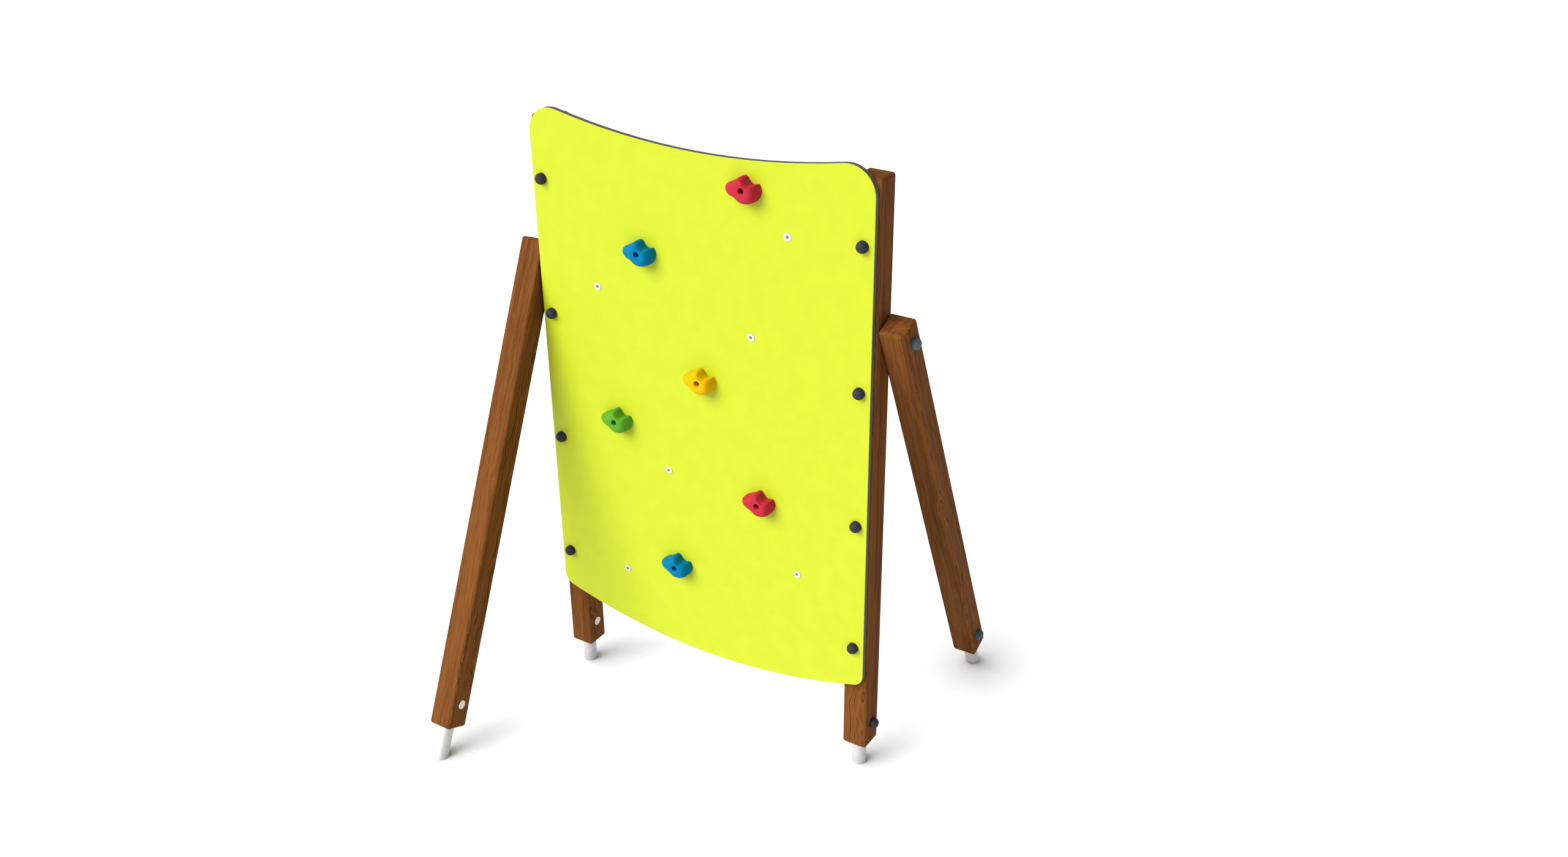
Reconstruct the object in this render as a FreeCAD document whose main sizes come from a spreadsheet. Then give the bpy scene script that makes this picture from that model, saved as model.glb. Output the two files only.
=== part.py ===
import FreeCAD, Part
import math
import os

import Sketcher

# A free-standing rock climbing wall for a playground. Two square timber posts carry one flat
# plastic climbing panel. A slanting timber brace is bolted to the outside of each post: the
# right brace runs to the back, the left brace to the front, so the wall can't tip either way.
# Each timber ends in a steel foot tube. Six cast holds are bolted into threaded inserts in the
# panel, and six more inserts are free for other hold layouts.
#
# Millimetres. X runs along the wall to the right, Y to the back, Z up. The origin is on the
# ground, half-way between the two posts, and climbers face the -Y side of the panel.

Vector = FreeCAD.Vector
Rotation = FreeCAD.Rotation
Placement = FreeCAD.Placement
RIGHT = 1
LEFT = -1

doc = FreeCAD.newDocument("climbing_wall")

# ---------------------------------------------------------------- driving dimensions

SIZES = [
    ("timber_side", 90, "side of the square timbers"),
    ("timber_rounding", 10, "radius on every timber edge"),
    ("post_spacing", 1186, "from centre to centre of the posts"),
    ("post_length", 2048, "timber length of a post"),
    ("foot_reveal", 97, "steel tube that shows under a post"),
    ("brace_tilt", 24, "angle of a brace from the vertical, in degrees"),
    ("brace_top_height", 1694, "height of the centre of a brace's top end"),
    ("brace_foot_height", 109, "height of the centre of a brace's lower end"),
    ("brace_top_lead", 7.5, "how far that centre stands off the posts' mid-plane, away from the foot"),
    ("brace_bolt_inset", 64, "from a brace's top end to the bolt through brace and post"),
    ("foot_bolt_inset", 88, "from the lower end of a timber to its cross bolt"),
    ("tube_diameter", 48.3, "outside diameter of a foot tube"),
    ("tube_wall", 3, "wall of a foot tube"),
    ("tube_grip", 180, "length of tube inside the timber"),
    ("tube_clearance", 0.3, "between tube and timber, all round"),
    ("tube_end_gap", 2, "free depth above the tube in its bore"),
    ("panel_edge_inset", 7.5, "from a post's outer face in to the panel's side edge"),
    ("panel_thickness", 19, "thickness of the climbing panel"),
    ("panel_low_corner", 381.5, "height of the panel's lower corners before rounding"),
    ("panel_over_post", 60, "how far the upper corners stand above the posts, before rounding"),
    ("panel_top_sag", 77, "how far the hollow top edge dips at mid-width"),
    ("panel_bottom_drop", 100.5, "how far the bowed bottom edge hangs at mid-width"),
    ("panel_top_corner", 90, "radius of the two upper corners"),
    ("panel_bottom_corner", 45, "radius of the two lower corners"),
    ("panel_edge_radius", 2, "radius routed along the panel's edges"),
    ("panel_bolt_from_low", 142.5, "from the lower corners up to the lowest panel bolts"),
    ("panel_bolt_from_high", 262, "from the upper corners down to the highest panel bolts"),
    ("bolt_diameter", 10, "shank of every bolt"),
    ("bolt_clearance", 0.5, "between a shank and its hole, all round"),
    ("thread_clearance", 0.1, "between a shank and the bore that stands for its thread, all round"),
    ("bolt_head_width", 17, "across the flats of a hexagon head"),
    ("bolt_head_height", 6.4, "height of a hexagon head"),
    ("cap_diameter", 38, "outside diameter of a bolt cap"),
    ("cap_height", 20, "height of a bolt cap over its timber or panel"),
    ("cap_wall", 2, "wall of a bolt cap"),
    ("cap_shoulder", 7, "height at which a cap starts to round over"),
    ("cap_fit", 0.3, "between a cap and the washer it snaps over, all round"),
    ("cap_washer_thickness", 3, "thickness of the washer under a bolt head"),
    ("nut_disc_diameter", 32, "disc of a sleeve nut"),
    ("nut_disc_thickness", 4, "thickness of that disc"),
    ("nut_disc_proud", 1, "how far the disc stands out of the timber"),
    ("nut_barrel_diameter", 15, "barrel of a sleeve nut"),
    ("nut_clearance", 0.3, "between a sleeve nut and its hole, all round"),
    ("nut_to_bore", 2, "timber left between a sleeve nut's barrel and the tube's bore"),
    ("nut_cover", 1, "gap between a bolt's tip and the closed end of its sleeve nut"),
    ("insert_flange_diameter", 27, "flange of a threaded insert"),
    ("insert_flange_thickness", 1.6, "thickness of that flange"),
    ("insert_barrel_diameter", 14, "barrel of a threaded insert"),
    ("insert_back_gap", 1, "how far a barrel stops short of the panel's back"),
    ("insert_clearance", 0.3, "between an insert and its seat, all round"),
    ("hold_width", 106, "width of a hold"),
    ("hold_height", 86, "height of a hold"),
    ("hold_depth", 50, "how far a hold stands off the panel"),
    ("hold_rounding", 9, "radius on a hold's front rim"),
    ("hold_bore_diameter", 21, "counterbore for the hold's bolt head"),
    ("hold_bore_depth", 36, "depth of that counterbore"),
    ("hold_washer_thickness", 2, "washer at the bottom of the counterbore"),
    ("hold_washer_diameter", 20, "outside diameter of that washer"),
    ("hold_head_diameter", 16, "socket head of a hold's bolt"),
    ("hold_head_height", 10, "height of that head"),
    ("hold_socket_width", 8, "across the flats of its hexagon socket"),
    ("hold_socket_depth", 5, "depth of its hexagon socket"),
]

# Where each hold's bolt meets the panel: name, distance across from mid-width, height.
HOLD_SPOTS = [
    ("red_high", 204, 2054),
    ("blue_high", -193, 1775),
    ("yellow_mid", 24, 1377),
    ("green_mid", -322, 1144),
    ("red_low", 246, 987),
    ("blue_low", -95, 633),
]

# The free inserts, in the same way.
SPARE_SPOTS = [
    ("spare_a", 337, 1922),
    ("spare_b", -392, 1609),
    ("spare_c", 203, 1564),
    ("spare_d", -135, 992),
    ("spare_e", 374, 740),
    ("spare_f", -335, 529),
]

sheet = doc.addObject("Spreadsheet::Sheet", "sizes")


def fill_sheet(rows):
    """Write one row per size: its alias, its number and what it measures."""
    for number, (alias, value, meaning) in enumerate(rows, start=1):
        sheet.set(f"A{number}", alias)
        sheet.set(f"B{number}", str(value))
        sheet.set(f"C{number}", meaning)
        sheet.setAlias(f"B{number}", alias)


def spot_rows(spots):
    """Two sheet rows for each place on the panel."""
    rows = []
    for name, across, height in spots:
        rows.append((name + "_across", across, "from mid-width to this bolt"))
        rows.append((name + "_height", height, "height of this bolt"))
    return rows


fill_sheet(SIZES + spot_rows(HOLD_SPOTS) + spot_rows(SPARE_SPOTS))
doc.recompute()


def size(alias):
    """A number read from the sheet, for shapes that code works out."""
    return float(sheet.get(alias))


# ---------------------------------------------------------------- places worked out from them

HALF_TIMBER = "sizes.timber_side / 2"
HALF_SPAN = "sizes.post_spacing / 2"
POST_INNER_FACE = "(sizes.post_spacing - sizes.timber_side) / 2"
POST_OUTER_FACE = "(sizes.post_spacing + sizes.timber_side) / 2"
BRACE_MIDDLE = "(sizes.post_spacing / 2 + sizes.timber_side)"
BRACE_OUTER_FACE = "(sizes.post_spacing / 2 + sizes.timber_side * 1.5)"
PANEL_FRONT = "(sizes.timber_side / 2 + sizes.panel_thickness)"
PANEL_WIDTH = "(sizes.post_spacing + sizes.timber_side - 2 * sizes.panel_edge_inset)"
PANEL_HIGH_CORNER = "(sizes.foot_reveal + sizes.post_length + sizes.panel_over_post)"

LEAN_SIDE = "sin(sizes.brace_tilt * 1 deg)"
LEAN_UP = "cos(sizes.brace_tilt * 1 deg)"


def brace_reach(along):
    """How far a point of the brace's axis, at this length from its top end, stands from Y = 0."""
    return f"(({along}) * {LEAN_SIDE} - sizes.brace_top_lead)"


def brace_level(along):
    """The height of that point."""
    return f"(sizes.brace_top_height - ({along}) * {LEAN_UP})"


BRACE_LENGTH = f"((sizes.brace_top_height - sizes.brace_foot_height) / {LEAN_UP})"
BRACE_FOOT_BOLT_ALONG = f"{BRACE_LENGTH} - sizes.foot_bolt_inset"
BRACE_HEAD_BOLT_ALONG = "sizes.brace_bolt_inset"

BOLT_HOLE = "sizes.bolt_diameter / 2 + sizes.bolt_clearance"
THREAD_BORE = "sizes.bolt_diameter / 2 + sizes.thread_clearance"
TUBE_BORE = "sizes.tube_diameter / 2 + sizes.tube_clearance"
NUT_SUNK = "(sizes.nut_disc_thickness - sizes.nut_disc_proud)"
NUT_BARREL_LENGTH = (f"((sizes.timber_side - sizes.tube_diameter) / 2 - sizes.tube_clearance"
                     f" - sizes.nut_to_bore - {NUT_SUNK})")
INSERT_BARREL_LENGTH = "(sizes.panel_thickness - sizes.insert_back_gap)"
HOLD_SEAT = "(sizes.hold_depth - sizes.hold_bore_depth)"


# ---------------------------------------------------------------- helpers

def checked(feature):
    """Recompute and stop at once if a feature failed."""
    doc.recompute()
    if "Invalid" in feature.State or "Error" in feature.State:
        raise RuntimeError(f"{feature.Name} failed: {feature.State}")
    return feature


def bind(target, **expressions):
    """Bind properties of an object to sheet expressions, with __ standing for a dot."""
    for name, expression in expressions.items():
        target.setExpression(name.replace("__", "."), expression)
    return target


def new_body(label):
    body = doc.addObject("PartDesign::Body", label)
    body.Label = label
    return body


def new_sketch(body, role, offset="0"):
    """A sketch on one of the body's own planes, moved along that plane's normal."""
    sketch = body.newObject("Sketcher::SketchObject", body.Name + "_sketch")
    plane = [item for item in body.Origin.OriginFeatures if item.Role == role][0]
    sketch.AttachmentSupport = [(plane, "")]
    sketch.MapMode = "FlatFace"
    bind(sketch, AttachmentOffset__Base__z=offset)
    return sketch


def drive(sketch, kind, *where, by):
    """Add one dimension to a sketch and bind it to a sheet expression."""
    index = sketch.addConstraint(Sketcher.Constraint(kind, *where))
    sketch.setExpression(f"Constraints[{index}]", by)


def pin_point(sketch, geometry, point, across, up):
    """Hold a point of a sketch at two signed distances from the sketch's origin."""
    origin = (-1, 1)
    x, y = sketch.getPoint(geometry, point).x, sketch.getPoint(geometry, point).y
    drive(sketch, "DistanceX", *origin, geometry, point, x, by=across)
    drive(sketch, "DistanceY", *origin, geometry, point, y, by=up)


def worked(expression):
    """The present value of a sheet expression, for a sketch's first guess."""
    value = sheet.evalExpression(expression)
    return float(getattr(value, "Value", value))


def drill(body, role, offset, inward, spots, radius, depth=None):
    """Round holes of one size, from a plane into the body, at a list of (across, up) places.

    inward is +1 where the cut runs along the plane's normal and -1 where it runs against it.
    With no depth the holes go right through.
    """
    before = body.Shape.Volume
    sketch = new_sketch(body, role, offset)
    normal = Vector(0, 0, 1)
    for across, up in spots:
        centre = Vector(worked(across), worked(up), 0)
        circle = sketch.addGeometry(Part.Circle(centre, normal, worked(radius)), False)
        pin_point(sketch, circle, 3, across, up)
        drive(sketch, "Radius", circle, worked(radius), by=radius)
    checked(sketch)
    pocket = body.newObject("PartDesign::Pocket", body.Name + "_holes")
    pocket.Profile = sketch
    pocket.Reversed = inward > 0
    if depth is None:
        pocket.Type = "ThroughAll"
    else:
        pocket.Type = "Length"
        bind(pocket, Length=depth)
    checked(pocket)
    if body.Shape.Volume >= before - 1:
        raise RuntimeError(f"{pocket.Name} cut nothing")
    return pocket


# ---------------------------------------------------------------- timbers

def timber(label, length):
    """A square timber standing on its body's origin, rounded on all twelve edges."""
    body = new_body(label)
    sketch = new_sketch(body, "XY_Plane")
    half = size("timber_side") / 2
    corners = [Vector(-half, -half, 0), Vector(half, -half, 0), Vector(half, half, 0), Vector(-half, half, 0)]
    for index in range(4):
        sketch.addGeometry(Part.LineSegment(corners[index], corners[(index + 1) % 4]), False)
    for index in range(4):
        sketch.addConstraint(Sketcher.Constraint("Coincident", index, 2, (index + 1) % 4, 1))
    for index, kind in enumerate(["Horizontal", "Vertical", "Horizontal", "Vertical"]):
        sketch.addConstraint(Sketcher.Constraint(kind, index))
    pin_point(sketch, 0, 1, f"-{HALF_TIMBER}", f"-{HALF_TIMBER}")
    drive(sketch, "DistanceX", 0, 1, 0, 2, 2 * half, by="sizes.timber_side")
    drive(sketch, "DistanceY", 1, 1, 1, 2, 2 * half, by="sizes.timber_side")
    checked(sketch)
    pad = body.newObject("PartDesign::Pad", label + "_length")
    pad.Profile = sketch
    bind(pad, Length=length)
    checked(pad)
    rounding = body.newObject("PartDesign::Fillet", label + "_rounding")
    rounding.Base = (pad, [f"Edge{number + 1}" for number in range(len(pad.Shape.Edges))])
    bind(rounding, Radius="sizes.timber_rounding")
    checked(rounding)
    drill(body, "XY_Plane", "0", 1, [("0", "0")], TUBE_BORE, "sizes.tube_grip + sizes.tube_end_gap")
    return body


def bolt_holes(body, role, out_sign, spots):
    """Holes right through a timber for bolts whose sleeve nuts sit in the face on out_sign's side.

    out_sign is +1 where that face looks along the plane's normal and -1 where it looks against it.
    """
    face = f"{out_sign} * {HALF_TIMBER}"
    drill(body, role, face, -out_sign, spots, BOLT_HOLE)
    nut_seats(body, role, out_sign, spots)


def nut_seats(body, role, out_sign, spots):
    """The stepped seats of sleeve nuts: one for the disc and one for the barrel."""
    face = f"{out_sign} * {HALF_TIMBER}"
    disc = "sizes.nut_disc_diameter / 2 + sizes.nut_clearance"
    barrel = "sizes.nut_barrel_diameter / 2 + sizes.nut_clearance"
    drill(body, role, face, -out_sign, spots, disc, NUT_SUNK)
    drill(body, role, face, -out_sign, spots, barrel, f"{NUT_SUNK} + {NUT_BARREL_LENGTH}")


PANEL_BOLT_ROWS = 4


def panel_bolt_level(row):
    """The height of one row of panel bolts: the rows are evenly spaced, the lowest is row 0."""
    lowest = "(sizes.panel_low_corner + sizes.panel_bolt_from_low)"
    highest = f"({PANEL_HIGH_CORNER} - sizes.panel_bolt_from_high)"
    return f"({lowest} + {row} * ({highest} - {lowest}) / {PANEL_BOLT_ROWS - 1})"


PANEL_BOLT_LEVELS = [panel_bolt_level(row) for row in range(PANEL_BOLT_ROWS)]


def post(label, side):
    """A post with bolt holes for its foot, its brace and the panel."""
    body = timber(label, "sizes.post_length")
    foot_bolt = ("0", "sizes.foot_bolt_inset")
    brace_bolt = (f"{side} * {brace_reach(BRACE_HEAD_BOLT_ALONG)}",
                  f"{brace_level(BRACE_HEAD_BOLT_ALONG)} - sizes.foot_reveal")
    bolt_holes(body, "YZ_Plane", -side, [foot_bolt, brace_bolt])
    back_is = -1    # the back face looks against the XZ plane's normal
    panel_bolts = [("0", f"{level} - sizes.foot_reveal") for level in PANEL_BOLT_LEVELS]
    bolt_holes(body, "XZ_Plane", back_is, panel_bolts)
    bind(body, Placement__Base__x=f"{side} * {HALF_SPAN}", Placement__Base__z="sizes.foot_reveal")
    return body


def brace(label, side):
    """A brace on the outside of a post, leaning so that its foot is behind or before the wall."""
    body = timber(label, BRACE_LENGTH)
    bolt_holes(body, "YZ_Plane", -side, [("0", "sizes.foot_bolt_inset")])
    head_bolt = ("0", f"{BRACE_LENGTH} - {BRACE_HEAD_BOLT_ALONG}")
    drill(body, "YZ_Plane", HALF_TIMBER, -1, [head_bolt], BOLT_HOLE)
    body.Placement = Placement(Vector(), Rotation(Vector(side, 0, 0), size("brace_tilt")))
    bind(body, Placement__Rotation__Angle="sizes.brace_tilt",
         Placement__Base__x=f"{side} * {BRACE_MIDDLE}",
         Placement__Base__y=f"{side} * {brace_reach(BRACE_LENGTH)}",
         Placement__Base__z=brace_level(BRACE_LENGTH))
    return body


# ---------------------------------------------------------------- foot tubes

def cylinder(name, radius, height, start="0"):
    """A round bar along its own Z, from start."""
    bar = doc.addObject("Part::Cylinder", name)
    bind(bar, Radius=radius, Height=height, Placement__Base__z=start)
    return bar


def boolean(kind, label, base, tool):
    """One piece made of two: kind is Cut, Fuse or Common."""
    piece = doc.addObject("Part::" + kind, label)
    piece.Label = label
    piece.Base = base
    piece.Tool = tool
    return checked(piece)


def cross_bar(name, height):
    """A bar along X through a tube's axis, which clears the cross bolt."""
    bar = doc.addObject("Part::Cylinder", name)
    bar.Placement = Placement(Vector(), Rotation(Vector(0, 1, 0), 90))
    bind(bar, Radius=BOLT_HOLE, Height="sizes.timber_side",
         Placement__Base__x=f"-{HALF_TIMBER}", Placement__Base__z=height)
    return bar


def foot_pipe(label, below):
    """A tube whose origin is where it enters the timber, with a cross hole for its bolt."""
    length = f"{below} + sizes.tube_grip"
    outside = cylinder(label + "_outside", "sizes.tube_diameter / 2", length, f"-({below})")
    inside = cylinder(label + "_inside", "sizes.tube_diameter / 2 - sizes.tube_wall", length, f"-({below})")
    pipe = boolean("Cut", label + "_pipe", outside, inside)
    return boolean("Cut", label, pipe, cross_bar(label + "_cross", "sizes.foot_bolt_inset"))


def post_foot(label, side):
    """The upright tube under a post, from the ground into the timber."""
    pipe = foot_pipe(label, "sizes.foot_reveal")
    bind(pipe, Placement__Base__x=f"{side} * {HALF_SPAN}", Placement__Base__z="sizes.foot_reveal")
    return checked(pipe)


def brace_foot(label, side):
    """The slanting tube under a brace, cut level so that its whole rim rests on the ground."""
    slant_reveal = f"{brace_level(BRACE_LENGTH)} / {LEAN_UP} + sizes.tube_diameter"
    pipe = foot_pipe(label + "_uncut", slant_reveal)
    pipe.Placement = Placement(Vector(), Rotation(Vector(side, 0, 0), size("brace_tilt")))
    bind(pipe, Placement__Rotation__Angle="sizes.brace_tilt",
         Placement__Base__x=f"{side} * {BRACE_MIDDLE}",
         Placement__Base__y=f"{side} * {brace_reach(BRACE_LENGTH)}",
         Placement__Base__z=brace_level(BRACE_LENGTH))
    above_ground = doc.addObject("Part::Box", label + "_above_ground")
    bind(above_ground, Length="sizes.timber_side", Width=BRACE_LENGTH, Height=BRACE_LENGTH,
         Placement__Base__x=f"{side} * {BRACE_MIDDLE} - {HALF_TIMBER}",
         Placement__Base__y=f"{side} * {brace_reach(BRACE_LENGTH)} - {BRACE_LENGTH} / 2")
    return boolean("Common", label, pipe, above_ground)


# ---------------------------------------------------------------- climbing panel

def corner_edges(shape, high):
    """Names of the two straight edges through the panel's thickness at its upper or lower corners."""
    names = []
    middle = shape.BoundBox.Center.z
    for number, edge in enumerate(shape.Edges, start=1):
        box = edge.BoundBox
        along_depth = box.YLength > 0.5 * shape.BoundBox.YLength
        if along_depth and (box.Center.z > middle) == high:
            names.append(f"Edge{number}")
    return names


def rim_edges(shape):
    """Names of the edges that run round the panel's front and back faces."""
    names = []
    for number, edge in enumerate(shape.Edges, start=1):
        if edge.BoundBox.YLength < 0.1:
            names.append(f"Edge{number}")
    return names


def rounded(body, base, names, radius):
    fillet = body.newObject("PartDesign::Fillet", body.Name + "_rounding")
    fillet.Base = (base, names)
    bind(fillet, Radius=radius)
    return checked(fillet)


def climbing_panel(label):
    """One flat sheet: straight sides, a hollow arc on top, a bowed arc below, four round corners."""
    body = new_body(label)
    sketch = new_sketch(body, "XZ_Plane")
    half, low, high = worked(PANEL_WIDTH) / 2, size("panel_low_corner"), worked(PANEL_HIGH_CORNER)
    low_left, low_right = Vector(-half, low, 0), Vector(half, low, 0)
    high_left, high_right = Vector(-half, high, 0), Vector(half, high, 0)
    top_middle = Vector(0, high - size("panel_top_sag"), 0)
    bottom_middle = Vector(0, low - size("panel_bottom_drop"), 0)
    left = sketch.addGeometry(Part.LineSegment(high_left, low_left), False)
    bottom = sketch.addGeometry(Part.Arc(low_left, bottom_middle, low_right), False)
    right = sketch.addGeometry(Part.LineSegment(low_right, high_right), False)
    top = sketch.addGeometry(Part.Arc(high_left, top_middle, high_right), False)
    # Both arcs are stored counter-clockwise: the lower one starts at the left, and so does the
    # upper one, because its centre is above the wall.
    for first, first_end, second, second_end in (
            (left, 2, bottom, 1), (bottom, 2, right, 1), (right, 2, top, 2), (top, 1, left, 1)):
        sketch.addConstraint(Sketcher.Constraint("Coincident", first, first_end, second, second_end))
    half_width = f"{PANEL_WIDTH} / 2"
    pin_point(sketch, left, 1, f"-{half_width}", PANEL_HIGH_CORNER)
    pin_point(sketch, left, 2, f"-{half_width}", "sizes.panel_low_corner")
    pin_point(sketch, right, 1, half_width, "sizes.panel_low_corner")
    pin_point(sketch, right, 2, half_width, PANEL_HIGH_CORNER)
    for curve, bow in ((top, "sizes.panel_top_sag"), (bottom, "sizes.panel_bottom_drop")):
        radius = f"({PANEL_WIDTH} ^ 2 / 4 + {bow} ^ 2) / (2 * {bow})"
        drive(sketch, "Radius", curve, worked(radius), by=radius)
    checked(sketch)
    pad = body.newObject("PartDesign::Pad", label + "_thickness")
    pad.Profile = sketch
    bind(pad, Length="sizes.panel_thickness")
    checked(pad)
    upper = rounded(body, pad, corner_edges(pad.Shape, True), "sizes.panel_top_corner")
    lower = rounded(body, upper, corner_edges(upper.Shape, False)[:2], "sizes.panel_bottom_corner")
    rounded(body, lower, rim_edges(lower.Shape), "sizes.panel_edge_radius")

    front = "sizes.panel_thickness"
    bolts = [(f"{side} * {HALF_SPAN}", level) for side in (LEFT, RIGHT) for level in PANEL_BOLT_LEVELS]
    drill(body, "XZ_Plane", front, -1, bolts, BOLT_HOLE)
    inserts = [(f"sizes.{name}_across", f"sizes.{name}_height") for name, _, _ in HOLD_SPOTS + SPARE_SPOTS]
    drill(body, "XZ_Plane", front, -1, inserts,
          "sizes.insert_barrel_diameter / 2 + sizes.insert_clearance")
    bind(body, Placement__Base__y=f"-{HALF_TIMBER}")
    return body


# ---------------------------------------------------------------- hardware, drawn once
#
# Each of these stands on the face it is fitted to, with +Z pointing away from that face.

def ring(name, outer, inner, height, start="0"):
    """A flat washer."""
    return boolean("Cut", name, cylinder(name + "_outer", outer, height, start),
                   cylinder(name + "_inner", inner, height, start))


def hexagon(name, across_flats, height, start):
    """A hexagonal bar along Z."""
    bar = doc.addObject("Part::Prism", name)
    bar.Polygon = 6
    bind(bar, Circumradius=f"{across_flats} / 2 / cos(30 deg)", Height=height, Placement__Base__z=start)
    return bar


def hexagon_bolt(name, clamped):
    """A bolt through this much material, which ends inside the sleeve nut on the far side."""
    seat = "sizes.cap_washer_thickness"
    tip = f"({clamped} - {NUT_SUNK} - sizes.nut_cover)"
    head = hexagon(name + "_head", "sizes.bolt_head_width", "sizes.bolt_head_height", seat)
    shank = cylinder(name + "_shank", "sizes.bolt_diameter / 2", f"{tip} + {seat}", f"-{tip}")
    return boolean("Fuse", name, head, shank)


def sleeve_nut(name):
    """A flat disc with a blind threaded barrel behind it, let into the timber."""
    disc = cylinder(name + "_disc", "sizes.nut_disc_diameter / 2", "sizes.nut_disc_thickness", f"-{NUT_SUNK}")
    deep = f"-({NUT_SUNK} + {NUT_BARREL_LENGTH})"
    barrel = cylinder(name + "_barrel", "sizes.nut_barrel_diameter / 2", NUT_BARREL_LENGTH, deep)
    thread = cylinder(name + "_thread", THREAD_BORE, NUT_BARREL_LENGTH, deep)
    return boolean("Cut", name, boolean("Fuse", name + "_solid", disc, barrel), thread)


def dome_profile(radius, shoulder, height):
    """Half the outline of a dome: up the wall to the shoulder, then an arc to the crown.

    The arc starts where the wall ends and meets the axis at a right angle, so its centre is on
    the axis.
    """
    rise = height - shoulder
    arc_radius = (radius ** 2 + rise ** 2) / (2 * rise)
    centre = height - arc_radius
    half_angle = math.asin(radius / arc_radius) / 2
    middle = Vector(arc_radius * math.sin(half_angle), 0, centre + arc_radius * math.cos(half_angle))
    wall = Part.makeLine(Vector(radius, 0, 0), Vector(radius, 0, shoulder))
    crown = Part.Arc(Vector(radius, 0, shoulder), middle, Vector(0, 0, height)).toShape()
    axis = Part.makeLine(Vector(0, 0, height), Vector(0, 0, 0))
    floor = Part.makeLine(Vector(0, 0, 0), Vector(radius, 0, 0))
    return Part.Face(Part.Wire([wall, crown, axis, floor]))


def bolt_cap(name):
    """A hollow plastic cap that snaps over the washer and hides the bolt head."""
    outer_radius, wall = size("cap_diameter") / 2, size("cap_wall")
    height, shoulder = size("cap_height"), size("cap_shoulder")
    outside = dome_profile(outer_radius, shoulder, height).revolve(Vector(), Vector(0, 0, 1), 360)
    hollow = dome_profile(outer_radius - wall, shoulder, height - wall)
    inside = hollow.revolve(Vector(), Vector(0, 0, 1), 360)
    soft_edge = [edge for edge in outside.Edges if abs(edge.BoundBox.ZMin - shoulder) < 0.01
                 and edge.BoundBox.ZLength < 0.01]
    cap = doc.addObject("Part::Feature", name)
    cap.Shape = outside.makeFillet(wall, soft_edge).cut(inside)
    return checked(cap)


def threaded_insert(name):
    """A flanged insert: the flange lies on the panel's front and the barrel goes into the panel."""
    flange = cylinder(name + "_flange", "sizes.insert_flange_diameter / 2", "sizes.insert_flange_thickness")
    barrel = cylinder(name + "_barrel", "sizes.insert_barrel_diameter / 2", INSERT_BARREL_LENGTH,
                      f"-{INSERT_BARREL_LENGTH}")
    thread = cylinder(name + "_thread", THREAD_BORE,
                      f"{INSERT_BARREL_LENGTH} + sizes.insert_flange_thickness", f"-{INSERT_BARREL_LENGTH}")
    return boolean("Cut", name, boolean("Fuse", name + "_solid", flange, barrel), thread)


def socket_bolt(name):
    """The bolt of a hold, from its washer down to the end of the insert."""
    seat = f"({HOLD_SEAT} + sizes.hold_washer_thickness)"
    head = cylinder(name + "_head", "sizes.hold_head_diameter / 2", "sizes.hold_head_height", seat)
    shank = cylinder(name + "_shank", "sizes.bolt_diameter / 2", f"{seat} + {INSERT_BARREL_LENGTH}",
                     f"-{INSERT_BARREL_LENGTH}")
    socket = hexagon(name + "_socket", "sizes.hold_socket_width", "sizes.hold_socket_depth",
                     f"{seat} + sizes.hold_head_height - sizes.hold_socket_depth")
    return boolean("Cut", name, boolean("Fuse", name + "_solid", head, shank), socket)


# A hold's outline seen from the front, as shares of its width and height from the bolt's axis,
# counter-clockwise from the right: right horn, saddle, top horn, left lobe, rounded chin.
HOLD_OUTLINE = [
    (0.453, 0.0), (0.358, 0.233), (0.189, 0.157), (0.057, 0.314), (-0.057, 0.449),
    (-0.17, 0.419), (-0.264, 0.262), (-0.411, 0.134), (-0.528, -0.058), (-0.481, -0.256),
    (-0.274, -0.36), (-0.085, -0.512), (0.113, -0.535), (0.349, -0.36),
]


RIM_STEPS = 4    # straight steps in the hold's quarter-round rim


def hold_section(shrink, level):
    """The hold's outline as a smooth closed curve, drawn in by shrink all round, at one level."""
    wide = size("hold_width") - 2 * shrink
    tall = size("hold_height") - 2 * shrink
    outline = Part.BSplineCurve()
    outline.interpolate([Vector(x * wide, y * tall, level) for x, y in HOLD_OUTLINE], PeriodicFlag=True)
    return Part.Wire(outline.toShape())


def hold(name):
    """A cast hold: its outline carried forward, a quarter-round front rim and a bolt bore."""
    depth, rounding = size("hold_depth"), size("hold_rounding")
    sections = [hold_section(0, 0)]
    for step in range(RIM_STEPS + 1):
        turn = math.radians(90 * step / RIM_STEPS)
        shrink = rounding * (1 - math.cos(turn))
        sections.append(hold_section(shrink, depth - rounding + rounding * math.sin(turn)))
    solid = Part.makeLoft(sections, True, True)
    counterbore = Part.makeCylinder(size("hold_bore_diameter") / 2, size("hold_bore_depth"),
                                    Vector(0, 0, depth - size("hold_bore_depth")))
    bolt_hole = Part.makeCylinder(size("bolt_diameter") / 2 + size("bolt_clearance"), depth)
    flange_seat = Part.makeCylinder(size("insert_flange_diameter") / 2 + size("insert_clearance"),
                                    size("insert_flange_thickness") + size("insert_clearance"))
    feature = doc.addObject("Part::Feature", name)
    feature.Shape = solid.cut(counterbore).cut(bolt_hole).cut(flange_seat)
    return checked(feature)


# ---------------------------------------------------------------- placing the hardware

TO_FRONT = Rotation(Vector(1, 0, 0), 90)
TO_BACK = Rotation(Vector(1, 0, 0), -90)
TO_RIGHT = Rotation(Vector(0, 1, 0), 90)
TO_LEFT = Rotation(Vector(0, 1, 0), -90)


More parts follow.
